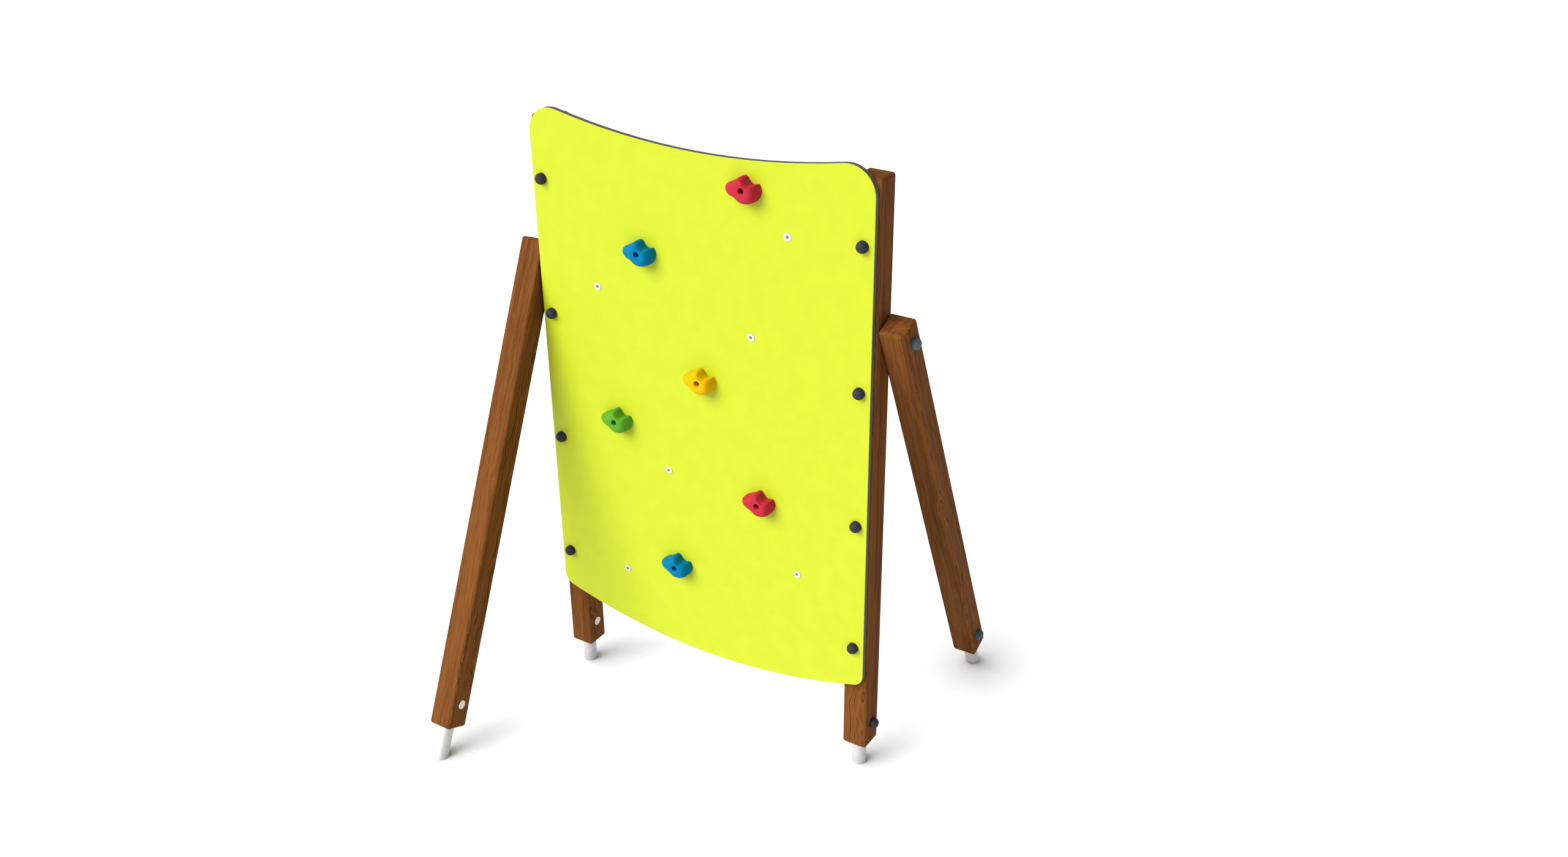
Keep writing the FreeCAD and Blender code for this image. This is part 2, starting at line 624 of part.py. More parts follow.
def copies(label, master, places):
    """One sub-part made of linked copies of a master, each turned and put at its place."""
    links = []
    for number, (turn, x, y, z) in enumerate(places, start=1):
        link = doc.addObject("App::Link", f"{label}_{number}")
        link.LinkedObject = master
        link.Placement = Placement(Vector(), turn)
        bind(link, Placement__Base__x=x, Placement__Base__y=y, Placement__Base__z=z)
        links.append(link)
    group = doc.addObject("Part::Compound", label)
    group.Label = label
    group.Links = links
    return checked(group)


def outward(side):
    return TO_RIGHT if side == RIGHT else TO_LEFT


def across_places(cap_face, nut_face, reach, level):
    """Where the caps and the nuts of the two bolts that run along X go, right and left."""
    caps = []
    nuts = []
    for side in (RIGHT, LEFT):
        y = f"{side} * {reach}"
        caps.append((outward(side), f"{side} * {cap_face}", y, level))
        nuts.append((outward(-side), f"{side} * {nut_face}", y, level))
    return caps, nuts


def panel_places(turn, face):
    return [(turn, f"{side} * {HALF_SPAN}", face, level)
            for side in (LEFT, RIGHT) for level in PANEL_BOLT_LEVELS]


def spot_places(spots):
    return [(TO_FRONT, f"sizes.{name}_across", f"-{PANEL_FRONT}", f"sizes.{name}_height")
            for name, _, _ in spots]


# ---------------------------------------------------------------- the assembly

nodes = {}


def keep(piece):
    nodes[piece.Label] = piece


for name, side in (("left", LEFT), ("right", RIGHT)):
    keep(post(name + "_post", side))
    keep(brace(name + "_brace", side))
    keep(post_foot(name + "_post_foot_tube", side))
    keep(brace_foot(name + "_brace_foot_tube", side))

keep(climbing_panel("climbing_panel"))

cap_washer_master = ring("cap_washer_master", "sizes.cap_diameter / 2 - sizes.cap_wall - sizes.cap_fit",
                         BOLT_HOLE, "sizes.cap_washer_thickness")
cap_master = bolt_cap("cap_master")
nut_master = sleeve_nut("sleeve_nut_master")


def fastening(name, clamped, caps, nuts):
    """The four nodes of one kind of bolted joint: bolts, cap washers, caps and sleeve nuts."""
    keep(copies(name + "_bolts", hexagon_bolt(name + "_bolt_master", clamped), caps))
    keep(copies(name + "_cap_washers", cap_washer_master, caps))
    keep(copies(name + "_caps", cap_master, caps))
    keep(copies(name + "_sleeve_nuts", nut_master, nuts))


fastening("panel", "sizes.timber_side + sizes.panel_thickness",
          panel_places(TO_FRONT, f"-{PANEL_FRONT}"), panel_places(TO_BACK, HALF_TIMBER))
fastening("post_foot", "sizes.timber_side",
          *across_places(POST_OUTER_FACE, POST_INNER_FACE,
                         "0", "(sizes.foot_reveal + sizes.foot_bolt_inset)"))
fastening("brace_foot", "sizes.timber_side",
          *across_places(BRACE_OUTER_FACE, POST_OUTER_FACE,
                         brace_reach(BRACE_FOOT_BOLT_ALONG), brace_level(BRACE_FOOT_BOLT_ALONG)))
fastening("brace_head", "2 * sizes.timber_side",
          *across_places(BRACE_OUTER_FACE, POST_INNER_FACE,
                         brace_reach(BRACE_HEAD_BOLT_ALONG), brace_level(BRACE_HEAD_BOLT_ALONG)))

hold_master = hold("hold_master")
for spot in HOLD_SPOTS:
    keep(copies("hold_" + spot[0], hold_master, spot_places([spot])))

insert_master = threaded_insert("insert_master")
hold_bolt_master = socket_bolt("hold_bolt_master")
hold_washer_master = ring("hold_washer_master", "sizes.hold_washer_diameter / 2", BOLT_HOLE,
                          "sizes.hold_washer_thickness", HOLD_SEAT)
keep(copies("hold_bolts", hold_bolt_master, spot_places(HOLD_SPOTS)))
keep(copies("hold_washers", hold_washer_master, spot_places(HOLD_SPOTS)))
keep(copies("hold_inserts", insert_master, spot_places(HOLD_SPOTS)))
keep(copies("spare_inserts", insert_master, spot_places(SPARE_SPOTS)))

# ---------------------------------------------------------------- check and write

doc.recompute()
for item in doc.Objects:
    if "Invalid" in item.State or "Error" in item.State:
        raise RuntimeError(f"{item.Name} failed: {item.State}")
for label, piece in nodes.items():
    if piece.Shape.isNull() or not piece.Shape.isValid() or not piece.Shape.Solids:
        raise RuntimeError(f"{label} has no valid shape")

os.makedirs("parts", exist_ok=True)
for label, piece in nodes.items():
    piece.Shape.exportStep(f"parts/{label}.step")
    print(f"{label}: {len(piece.Shape.Solids)} solids, {piece.Shape.Volume / 1000:.1f} cm3")
print(f"{len(nodes)} sub-parts")
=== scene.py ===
# %% [markdown]
# # A rock climbing wall, from frame to finish
# Two square posts carry a lime panel with six cast holds, and two leaning braces keep the posts
# upright. The frame already has every piece at its real size, so this lesson adds what the eye
# reads: stained timber, a coloured sheet with a dark core, galvanised tube, moulded caps and
# sculpted resin holds. Everything is in metres, in the frame's own axes: X across, Y to the
# back, Z up.

# %% Load the frame
import math

import bmesh
import bpy
import numpy as np
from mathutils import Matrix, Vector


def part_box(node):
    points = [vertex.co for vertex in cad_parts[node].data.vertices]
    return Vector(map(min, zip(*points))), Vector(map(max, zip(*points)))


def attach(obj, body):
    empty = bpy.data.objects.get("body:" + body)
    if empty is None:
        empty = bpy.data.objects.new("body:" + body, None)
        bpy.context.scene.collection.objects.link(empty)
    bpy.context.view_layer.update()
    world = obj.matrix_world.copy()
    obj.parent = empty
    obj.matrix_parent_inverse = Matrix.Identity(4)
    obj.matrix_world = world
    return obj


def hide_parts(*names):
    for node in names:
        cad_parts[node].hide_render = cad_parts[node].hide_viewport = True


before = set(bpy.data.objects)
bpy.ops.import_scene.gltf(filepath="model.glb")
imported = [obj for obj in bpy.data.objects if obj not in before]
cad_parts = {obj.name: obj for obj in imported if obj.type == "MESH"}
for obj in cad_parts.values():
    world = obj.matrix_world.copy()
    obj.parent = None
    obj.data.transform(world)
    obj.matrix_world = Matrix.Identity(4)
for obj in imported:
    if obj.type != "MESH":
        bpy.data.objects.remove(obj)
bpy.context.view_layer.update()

# %% [markdown]
# ## Camera
# The wall is seen from the right and from above, at eye height of someone on a ladder. A camera
# could be aimed by a constraint at a target, but a point and two plain angles are easier to read
# and to repeat: the azimuth turns it round the wall, and the elevation is how far it looks down. A
# small shift slides the picture in its frame without turning the lens, so the posts keep their
# convergence.

# %% Camera
CAMERA_PLACE = (2.5837, -3.7806, 3.5571)
CAMERA_AZIMUTH = math.radians(31.12)
CAMERA_ELEVATION = math.radians(28.77)
LENS_LENGTH = 35.45
LENS_SHIFT = (-0.0028, 0.0188)

camera_data = bpy.data.cameras.new("camera")
camera_data.lens = LENS_LENGTH
camera_data.shift_x, camera_data.shift_y = LENS_SHIFT
camera = bpy.data.objects.new("camera", camera_data)
camera.location = CAMERA_PLACE
camera.rotation_euler = (math.pi / 2 - CAMERA_ELEVATION, 0, CAMERA_AZIMUTH)
bpy.context.scene.collection.objects.link(camera)
bpy.context.scene.camera = camera
print("camera at", CAMERA_PLACE)

# %% [markdown]
# ## Shader helpers
# Materials here are small trees of nodes. They could be wired by hand in the shader editor, but
# code is easier to repeat and to change, so a few helpers keep each tree readable: put adds a node
# and fills its inputs, maths and vectors do one sum each, fade is a soft step between two values,
# blend mixes two colours by a mask, and noise reads a pattern at its own scale along each axis.

# %% Shader helpers
def put(tree, kind, inputs=(), **options):
    """One new node: options are its own settings, inputs are values or other nodes' outputs."""
    made = tree.nodes.new(kind)
    for name, value in options.items():
        setattr(made, name, value)
    for name, value in dict(inputs).items():
        if isinstance(value, bpy.types.NodeSocket):
            tree.links.new(value, made.inputs[name])
        else:
            made.inputs[name].default_value = value
    return made


def maths(tree, operation, *values):
    """One sum on numbers that change over the surface."""
    return put(tree, "ShaderNodeMath", enumerate(values), operation=operation).outputs[0]


def vectors(tree, operation, *values, **named):
    """One sum on places or directions; named holds the inputs that are plain numbers."""
    inputs = {**dict(enumerate(values)), **named}
    return put(tree, "ShaderNodeVectorMath", inputs, operation=operation).outputs[0]


def fade(tree, value, low, high, start=0.0, end=1.0):
    """A soft step: start below low, end above high, and an S-shaped change between them."""
    steps = {"Value": value, "From Min": low, "From Max": high, "To Min": start, "To Max": end}
    return put(tree, "ShaderNodeMapRange", steps, interpolation_type="SMOOTHSTEP").outputs[0]


def blend(tree, mask, first, second):
    """The first colour where the mask is 0 and the second where it is 1."""
    return put(tree, "ShaderNodeMix", {0: mask, 6: first, 7: second}, data_type="RGBA").outputs[2]


def noise(tree, place, scale, detail=2.0, roughness=0.5):
    """Smooth noise, at so many bumps per metre along each axis."""
    inputs = {"Vector": vectors(tree, "MULTIPLY", place, scale), "Scale": 1.0, "Detail": detail,
              "Roughness": roughness}
    return put(tree, "ShaderNodeTexNoise", inputs).outputs


print("shader helpers: put, maths, vectors, fade, blend, noise")

# %% [markdown]
# ## Node group helpers
# A pattern that several finishes share could be copied into each material, but a later change
# would then have to be made in every copy. A node group is built once, and each material places it
# with its own values. The three helpers make an empty group with named sockets, join its outputs,
# and place it in a material.

# %% Node group helpers
def group(name, inputs, outputs):
    """An empty node group with named sockets: an input has its default value, or None when it
    is a vector."""
    tree = bpy.data.node_groups.new(name, "ShaderNodeTree")
    for title, default in inputs.items():
        kind = "NodeSocketVector" if default is None else "NodeSocketFloat"
        made = tree.interface.new_socket(title, in_out="INPUT", socket_type=kind)
        if default is not None:
            made.default_value = default
    for title in outputs:
        tree.interface.new_socket(title, in_out="OUTPUT", socket_type="NodeSocketFloat")
    return tree, put(tree, "NodeGroupInput").outputs


def close_group(tree, values):
    """Joins the group's named outputs to the values worked out inside it."""
    put(tree, "NodeGroupOutput", values)
    print("group", tree.name, "gives", ", ".join(values))


def use(tree, name, inputs):
    """A copy of a node group inside a material."""
    return put(tree, "ShaderNodeGroup", inputs, node_tree=bpy.data.node_groups[name]).outputs


print("node group helpers: group, close_group, use")

# %% [markdown]
# ## Grain of a sawn timber
# A square timber is cut from a round trunk, so its faces are slices through growth rings. One way
# to draw that is to paint stripes on each face, but then they don't meet at the edges. Here the
# rings are worked out in space instead: the distance from a slightly wandering heart line,
# divided by the ring spacing, counts the rings. Where a face cuts them at a slant, the pointed
# flames of plain-sawn wood appear by themselves, and the lines run on over the edges and the end
# grain. Fine pores drawn out along the timber and long streaks of stain come on top.

# %% Timber grain group
post_low, post_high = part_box("left_post")
HALF_SIDE = (post_high.x - post_low.x) / 2
# The band along the long corners that gets a painted highlight.
PAINTED_HIGHLIGHT_BAND = (HALF_SIDE - 0.008, HALF_SIDE - 0.0015)
RIPPLE = 0.022
TAPER = 0.02


def build_timber_grain():
    """Rings = fraction of (distance from the wandering heart line / spacing), darkening slowly
    and then stopping short, each ring with its own strength. The distance counts a small part
    of the length too, since a trunk tapers. Pores = noise drawn out along the timber. Stain =
    broad streaks. Edge = how close a point is to a long corner, from the smaller of |x| and
    |y|. Height = -0.6 x Pores - 0.4 x Rings."""
    tree, given = group("timber_grain",
                        {"Place": None, "Heart": None, "Ring Spacing": 0.005, "Sway": 0.012},
                        ["Rings", "Pores", "Stain", "Edge", "Height"])
    place = given["Place"]
    sway = vectors(tree, "SUBTRACT", noise(tree, place, (3.5, 3.5, 1.7), 3.0, 0.55)["Color"],
                   (0.5, 0.5, 0.5))
    ripple = noise(tree, place, (14.0, 14.0, 10.0), 1.5, 0.5)["Color"]
    moved = vectors(tree, "ADD", place, vectors(tree, "SCALE", sway, Scale=given["Sway"]))
    moved = vectors(tree, "ADD", moved, vectors(tree, "SCALE", ripple, Scale=RIPPLE))
    moved = vectors(tree, "ADD", moved, given["Heart"])
    across = vectors(tree, "MULTIPLY", moved, (1.0, 1.0, TAPER))
    distance = put(tree, "ShaderNodeVectorMath", {0: across}, operation="LENGTH").outputs["Value"]
    count = maths(tree, "DIVIDE", distance, given["Ring Spacing"])
    part = maths(tree, "FRACT", count)
    year = put(tree, "ShaderNodeTexWhiteNoise", {"W": maths(tree, "FLOOR", count)},
               noise_dimensions="1D").outputs["Value"]
    late = maths(tree, "MULTIPLY", fade(tree, part, 0.15, 0.9),
                 fade(tree, part, 0.93, 1.0, 1.0, 0.0))
    rings = maths(tree, "MULTIPLY", late, fade(tree, year, 0.0, 1.0, 0.35, 1.0))
    pores = fade(tree, noise(tree, place, (900.0, 900.0, 14.0), 4.0, 0.6)["Fac"], 0.42, 0.68)
    stain = fade(tree, noise(tree, moved, (42.0, 42.0, 1.6), 3.0, 0.6)["Fac"], 0.3, 0.7)
    sides = put(tree, "ShaderNodeSeparateXYZ", {0: place}).outputs
    near = maths(tree, "MINIMUM", maths(tree, "ABSOLUTE", sides["X"]),
                 maths(tree, "ABSOLUTE", sides["Y"]))
    height = maths(tree, "SUBTRACT", maths(tree, "MULTIPLY", pores, -0.6),
                   maths(tree, "MULTIPLY", rings, 0.4))
    close_group(tree, {"Rings": rings, "Pores": pores, "Stain": stain,
                       "Edge": fade(tree, near, *PAINTED_HIGHLIGHT_BAND), "Height": height})


build_timber_grain()
print("half a timber's side", round(HALF_SIDE, 4), "m")

# %% [markdown]
# ## Skin of a moulded or cast plastic
# Sheet, caps and holds all come out of a press or a mould, and none of them is mirror smooth: the
# surface has a fine orange peel, and it is a little uneven over a few centimetres. One group
# serves them all, with the grain size as an input.

# %% Moulded skin group
def build_moulded_skin():
    """Peel = fine round noise at the grain size. Cloud = slow noise at forty times that size.
    Scuff = the thin crests of a stretched noise, as from brushing hands."""
    tree, given = group("moulded_skin", {"Place": None, "Grain": 0.001},
                        ["Peel", "Cloud", "Scuff"])
    place = given["Place"]
    per_metre = maths(tree, "DIVIDE", 1.0, given["Grain"])
    peel = put(tree, "ShaderNodeTexNoise",
               {"Vector": place, "Scale": per_metre, "Detail": 2.0}).outputs["Fac"]
    slower = maths(tree, "DIVIDE", per_metre, 40.0)
    cloud = put(tree, "ShaderNodeTexNoise",
                {"Vector": place, "Scale": slower, "Detail": 3.0}).outputs["Fac"]
    brushed = noise(tree, place, (60.0, 60.0, 260.0), 4.0, 0.65)["Fac"]
    scuff = maths(tree, "MULTIPLY", fade(tree, brushed, 0.58, 0.74),
                  fade(tree, cloud, 0.45, 0.7))
    close_group(tree, {"Peel": peel, "Cloud": cloud, "Scuff": scuff})


build_moulded_skin()

# %% [markdown]
# ## Zinc
# Hot-dip galvanising freezes into a faint pattern of crystals, called spangle, and weathers in
# pale clouds. Cells of a Voronoi texture, each with its own shade, are close to how the crystals
# meet. The plated discs and inserts use the same group with much smaller cells.

# %% Zinc group
def build_zinc():
    """Spangle = one random shade per cell. Cloud = slow noise. Grain = very fine noise."""
    tree, given = group("zinc", {"Place": None, "Cell": 0.006}, ["Spangle", "Cloud", "Grain"])
    per_metre = maths(tree, "DIVIDE", 1.0, given["Cell"])
    cells = put(tree, "ShaderNodeTexVoronoi", {"Vector": given["Place"], "Scale": per_metre})
    shade = put(tree, "ShaderNodeSeparateColor", {0: cells.outputs["Color"]}).outputs[0]
    cloud = noise(tree, given["Place"], (22.0, 22.0, 22.0), 3.0)["Fac"]
    grain = noise(tree, given["Place"], (1800.0, 1800.0, 1800.0), 1.0)["Fac"]
    close_group(tree, {"Spangle": shade, "Cloud": cloud, "Grain": grain})


build_zinc()

# %% [markdown]
# ## From pattern to finish
# A group only gives patterns; a material turns them into a finish. Every material starts the same
# way, from one Principled shader and the place on the object in metres, so a grain has its real
# size on every piece. Three more helpers cover that start, the small relief, and putting a finish
# on a piece of the frame.

# %% Material helpers
def material(name):
    """A new material: its tree, its Principled shader and the place on the object, in metres."""
    made = bpy.data.materials.new(name)
    made.use_nodes = True
    shader = made.node_tree.nodes["Principled BSDF"]
    place = put(made.node_tree, "ShaderNodeTexCoord").outputs["Object"]
    return made, made.node_tree, shader, place


def bump(tree, shader, height, distance, strength=1.0):
    """Raises the surface by the height times the distance, in metres."""
    made = put(tree, "ShaderNodeBump", {"Height": height, "Distance": distance,
                                        "Strength": strength})
    tree.links.new(made.outputs[0], shader.inputs["Normal"])


def dress(name, finish):
    """Gives a node of the frame its finish."""
    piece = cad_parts[name]
    piece.data.materials.clear()
    piece.data.materials.append(finish)


print("material helpers: material, bump, dress")

# %% [markdown]
# ## Stained timber
# The timbers are softwood with a brown stain: the early wood drinks it and goes warm, the late
# wood stays as darker lines. Each timber gets its own heart line and start along the trunk, so no
# two look the same, and the braces' grain is turned to run along them. The mapping node takes a
# place back to the timber's own centre and slope.

# %% Stained timber
LIGHT_STAIN = (0.176, 0.063, 0.0150, 1.0)
DARK_STAIN = (0.038, 0.0120, 0.0034, 1.0)
# A paler stain, painted along the corners as a highlight.
PAINTED_HIGHLIGHT_STAIN = (0.215, 0.080, 0.020, 1.0)
RING_SPACING = 0.0036
HEART_SWAY = 0.040
DARKENING = {"Rings": 0.47, "Pores": 0.30, "Stain": 0.35}
PAINTED_HIGHLIGHT_SHARE = 0.25
BRACE_TILT = math.radians(24)


def stained_timber(name, tilt, heart, start):
    """Colour = light stain, darkened by the rings, pores and streaks, with a painted highlight
    along the corners.
    The heart is where the timber's middle lies, seen from the middle of its trunk, and the
    start is how far up the trunk it was cut."""
    low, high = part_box(name)
    centre = (low + high) / 2
    made, tree, shader, place = material("stained_" + name)
    own = put(tree, "ShaderNodeMapping", {"Vector": place, "Location": centre,
                                          "Rotation": (tilt, 0.0, 0.0)}, vector_type="TEXTURE")
    grain = use(tree, "timber_grain", {"Place": own.outputs[0], "Heart": (*heart, start),
                                       "Ring Spacing": RING_SPACING, "Sway": HEART_SWAY})
    tone = 0.0
    for mask, share in DARKENING.items():
        tone = maths(tree, "MULTIPLY_ADD", grain[mask], share, tone)
    colour = blend(tree, fade(tree, tone, 0.0, 1.1), LIGHT_STAIN, DARK_STAIN)
    # Painted highlight: the corners are made paler, as if their rounding catches the light.
    wear_and_highlight = maths(tree, "MULTIPLY", grain["Edge"], PAINTED_HIGHLIGHT_SHARE)
    tree.links.new(blend(tree, wear_and_highlight, colour, PAINTED_HIGHLIGHT_STAIN), shader.inputs["Base Color"])
    tree.links.new(fade(tree, tone, 0.0, 1.0, 0.62, 0.80), shader.inputs["Roughness"])
    shader.inputs["Specular IOR Level"].default_value = 0.02
    bump(tree, shader, grain["Height"], 0.0006, 0.6)
    dress(name, made)
    print(name, "centre", [round(value, 4) for value in centre])


stained_timber("left_post", 0.0, (0.150, 0.050), 0.3)
stained_timber("right_post", 0.0, (-0.060, 0.150), 1.9)
stained_timber("left_brace", -BRACE_TILT, (0.130, -0.070), 3.1)
stained_timber("right_brace", BRACE_TILT, (-0.150, 0.050), 4.7)

# %% [markdown]
# ## Lime sheet
# The panel is one sheet with coloured skins on a dark core, so its cut edges show a dark line all
# the way round. Three thin boards in a stack would give that line too, but the skins are under a
# millimetre thick, so a mask on the depth Y tells the core from the skins with no extra geometry.

# %% Lime sheet
LIME = (0.409, 0.474, 0.0140, 1.0)
LIME_LOW = (0.395, 0.458, 0.0135, 1.0)
CORE = (0.084, 0.081, 0.078, 1.0)
SKIN = 0.0008
SOFTNESS = 0.0002


def lime_sheet():
    """Skin where Y is within the skin's thickness of a face, core between them."""
    low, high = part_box("climbing_panel")
    made, tree, shader, place = material("lime_sheet")
    skin = use(tree, "moulded_skin", {"Place": place, "Grain": 0.0016})
    depth = put(tree, "ShaderNodeSeparateXYZ", {0: place}).outputs["Y"]
    front, back = low.y + SKIN, high.y - SKIN
    behind_front = fade(tree, depth, front - SOFTNESS, front + SOFTNESS)
    before_back = fade(tree, depth, back - SOFTNESS, back + SOFTNESS, 1.0, 0.0)
    core = maths(tree, "MULTIPLY", behind_front, before_back)
    lime = blend(tree, fade(tree, skin["Cloud"], 0.35, 0.65), LIME, LIME_LOW)
    tree.links.new(blend(tree, core, lime, CORE), shader.inputs["Base Color"])
    rough = maths(tree, "ADD", fade(tree, skin["Cloud"], 0.3, 0.7, 0.42, 0.50),
                  maths(tree, "MULTIPLY", skin["Scuff"], 0.10))
    tree.links.new(maths(tree, "ADD", rough, maths(tree, "MULTIPLY", core, 0.35)),
                   shader.inputs["Roughness"])
    shader.inputs["Specular IOR Level"].default_value = 0.2
    bump(tree, shader, skin["Peel"], 0.00015, 0.5)
    dress("climbing_panel", made)
    print("sheet from", round(low.y, 4), "to", round(high.y, 4))


lime_sheet()

# %% [markdown]
# ## Metal
# The foot tubes are hot-dip galvanised, so they are pale grey, half matt, and show crystals a few
# millimetres wide. The sleeve nuts, inserts, bolts and washers are zinc plated, which is thinner
# and finer. A mirror-like metal would only show a white room, so both keep some plain grey under
# the shine: the metallic value is well below one, as on real zinc that has started to weather.

# %% Metal
def zinc_metal(name, bright, dull, cell, metallic, smooth, rough):
    """Colour runs between a bright and a dull zinc with the crystals and clouds."""
    made, tree, shader, place = material(name)
    zinc = use(tree, "zinc", {"Place": place, "Cell": cell})
    shade = maths(tree, "ADD", maths(tree, "MULTIPLY", zinc["Spangle"], 0.45),
                  maths(tree, "MULTIPLY", zinc["Cloud"], 0.55))
    tree.links.new(blend(tree, shade, bright, dull), shader.inputs["Base Color"])
    tree.links.new(fade(tree, shade, 0.1, 0.9, smooth, rough), shader.inputs["Roughness"])
    shader.inputs["Metallic"].default_value = metallic
    bump(tree, shader, zinc["Grain"], 0.00005, 0.4)
    return made


galvanised = zinc_metal("galvanised_tube", (0.59, 0.575, 0.565, 1), (0.50, 0.49, 0.48, 1),
                        cell=0.005, metallic=0.65, smooth=0.58, rough=0.70)
plated = zinc_metal("plated_zinc", (0.62, 0.62, 0.61, 1), (0.48, 0.48, 0.47, 1),
                    cell=0.0012, metallic=0.55, smooth=0.25, rough=0.40)
for name in ("left_post", "right_post", "left_brace", "right_brace"):
    dress(name + "_foot_tube", galvanised)
for joint in ("panel", "post_foot", "brace_foot", "brace_head"):
    for part in ("_bolts", "_sleeve_nuts"):
        dress(joint + part, plated)
for name in ("hold_bolts", "hold_washers", "hold_inserts", "spare_inserts"):
    dress(name, plated)
print("metal on", sum("tube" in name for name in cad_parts), "tubes and the hardware")

# %% [markdown]
# ## Cap finish
# The caps are moulded nylon: nearly black on the posts and the panel, slate on the braces. The
# mould leaves a fine even texture, and handling leaves paler scuffs. One function makes both, with
# only the two shades changed.

# %% Cap finish
def moulded_plastic(name, colour, wear_and_highlight):
    """Colour drifts from the moulded shade to a slightly worn one."""
    made, tree, shader, place = material(name)
    skin = use(tree, "moulded_skin", {"Place": place, "Grain": 0.0007})
    mask = maths(tree, "ADD", fade(tree, skin["Cloud"], 0.35, 0.7, 0.0, 0.6),
                 maths(tree, "MULTIPLY", skin["Scuff"], 0.4))
    tree.links.new(blend(tree, mask, colour, wear_and_highlight), shader.inputs["Base Color"])
    tree.links.new(fade(tree, skin["Peel"], 0.3, 0.7, 0.60, 0.74), shader.inputs["Roughness"])
    shader.inputs["Specular IOR Level"].default_value = 0.25
    bump(tree, shader, skin["Peel"], 0.0001, 0.6)
    return made


black = moulded_plastic("black_nylon", (0.014, 0.013, 0.021, 1), (0.021, 0.020, 0.029, 1))
slate = moulded_plastic("slate_nylon", (0.055, 0.072, 0.085, 1), (0.075, 0.092, 0.105, 1))
cap_finish = {"panel": black, "post_foot": black, "brace_foot": slate, "brace_head": slate}
for joint, plastic in cap_finish.items():
    dress(joint + "_cap_washers", plastic)
print("cap finishes for", len(cap_finish), "kinds of joint")

# %% [markdown]
# ## From a grid of points to a piece
# Blender has tools for turning and sweeping, but a surface that is worked out as a grid of points
# is easier to bend to a real shape. Rows of points go round the piece, and the faces join every
# row to the next. Where a row shrinks to a single spot its points are merged, and then the faces
# are made to point outwards.

# %% Grid to piece
SHARP_ANGLE = math.radians(50)
MERGE_WITHIN = 1e-6


def ring_faces(upper, lower):
    """Four-cornered faces from the points numbered in upper to those in lower: the last point of
    a row is followed by its first, so every row is a closed ring."""
    return np.stack([upper, lower, np.roll(lower, -1, axis=-1), np.roll(upper, -1, axis=-1)],
                    axis=-1).reshape(-1, 4)


def piece_from_grid(name, grid, faces):
    """A new object with merged doubles, faces that point outwards, and smooth shading except
    where two faces meet at more than the sharp angle."""
    mesh = bpy.data.meshes.new(name)
    mesh.from_pydata(grid.reshape(-1, 3).tolist(), [], faces.tolist())
    merged = bmesh.new()
    merged.from_mesh(mesh)
    bmesh.ops.remove_doubles(merged, verts=merged.verts, dist=MERGE_WITHIN)
    bmesh.ops.recalc_face_normals(merged, faces=merged.faces)
    merged.to_mesh(mesh)
    merged.free()
    mesh.shade_smooth()
    mesh.set_sharp_from_angle(angle=SHARP_ANGLE)
    piece = bpy.data.objects.new(name, mesh)
    bpy.context.scene.collection.objects.link(piece)
    return piece


print("grid helpers: ring_faces, piece_from_grid")

# %% [markdown]
# ## Profile of a cap
# A bolt cap is a hollow plastic dome that hides the bolt head and leaves nothing sharp. It could
# be half a sphere, but a moulded cap has a short straight skirt that turns softly into the crown.
# So it is a profile to be turned round the bolt's axis: a rounded square curve from the crown to
# the skirt, the skirt, and the same line back again one wall further in.

# %% Cap profile
CAP_CROWN = 0.0245
CAP_SKIRT = 0.006
CAP_WALL = 0.002
CAP_SQUARENESS = 2.3


def cap_profile(radius, rows=14):
    """Radius and height down the outside, then up the inside. On the dome, radius = edge x
    cos(turn)^(2/n) and height = skirt + rise x sin(turn)^(2/n), so n = 2 is a round dome and a
    larger n a squarer one."""
    turn = np.linspace(math.pi / 2, 0, rows)
    across, up = (np.clip(f(turn), 0, 1)**(2 / CAP_SQUARENESS) for f in (np.cos, np.sin))
    rise = CAP_CROWN - CAP_SKIRT
    outside = np.column_stack([radius * across, CAP_SKIRT + rise * up])
    inside = np.column_stack([(radius - CAP_WALL) * across, CAP_SKIRT + (rise - CAP_WALL) * up])
    outside[0, 0] = inside[0, 0] = 0.0
    return np.concatenate([outside, [(radius, 0.0), (radius - CAP_WALL, 0.0)], inside[::-1]])


print("a cap stands", CAP_CROWN, "m proud of the face behind it")

# %% [markdown]
# ## Domed caps
# Every cap stands where the frame's own cap stands. Typing those places in would break as soon as
# the frame changed, so they are read from the frame's caps: one node holds several, with wide gaps
# between them, and each one's box gives its centre, its radius and the face it stands on.

# %% Domed caps
CAPS_APART = 0.05


def places_of(node):
    """The lowest and highest corner of each loose cap in a node, told apart by the wide gaps
    between them across X and up Z."""
    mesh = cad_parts[node].data
    points = np.empty(len(mesh.vertices) * 3)
    mesh.vertices.foreach_get("co", points)
    heaps = [points.reshape(-1, 3)]
    for axis in (0, 2):
        ordered = [heap[np.argsort(heap[:, axis])] for heap in heaps]
        heaps = [part for heap in ordered for part in
                 np.split(heap, np.where(np.diff(heap[:, axis]) > CAPS_APART)[0] + 1)]
    return [(heap.min(axis=0), heap.max(axis=0)) for heap in heaps]


def cap_grid(low, high, around=56):
    """Turns the profile round one cap's axis: place = base + side x height along the axis, and
    middle + radius x (cos, sin) of the angle across it. A cap on the front points to -Y, and
    one on a side points away from the middle of the wall."""
    middle = (low + high) / 2
    along = 1 if high[1] - low[1] < high[0] - low[0] else 0
    side = -1.0 if along == 1 else math.copysign(1.0, middle[0])
    base = high[along] if side < 0 else low[along]
    profile = cap_profile((high[2] - low[2]) / 2)
    angle = 2 * math.pi * np.arange(around) / around
    grid = np.empty((len(profile), around, 3))
    grid[:, :, along] = base + side * profile[:, 1:2]
    grid[:, :, 1 - along] = middle[1 - along] + profile[:, :1] * np.cos(angle)
    grid[:, :, 2] = middle[2] + profile[:, :1] * np.sin(angle)
    return grid


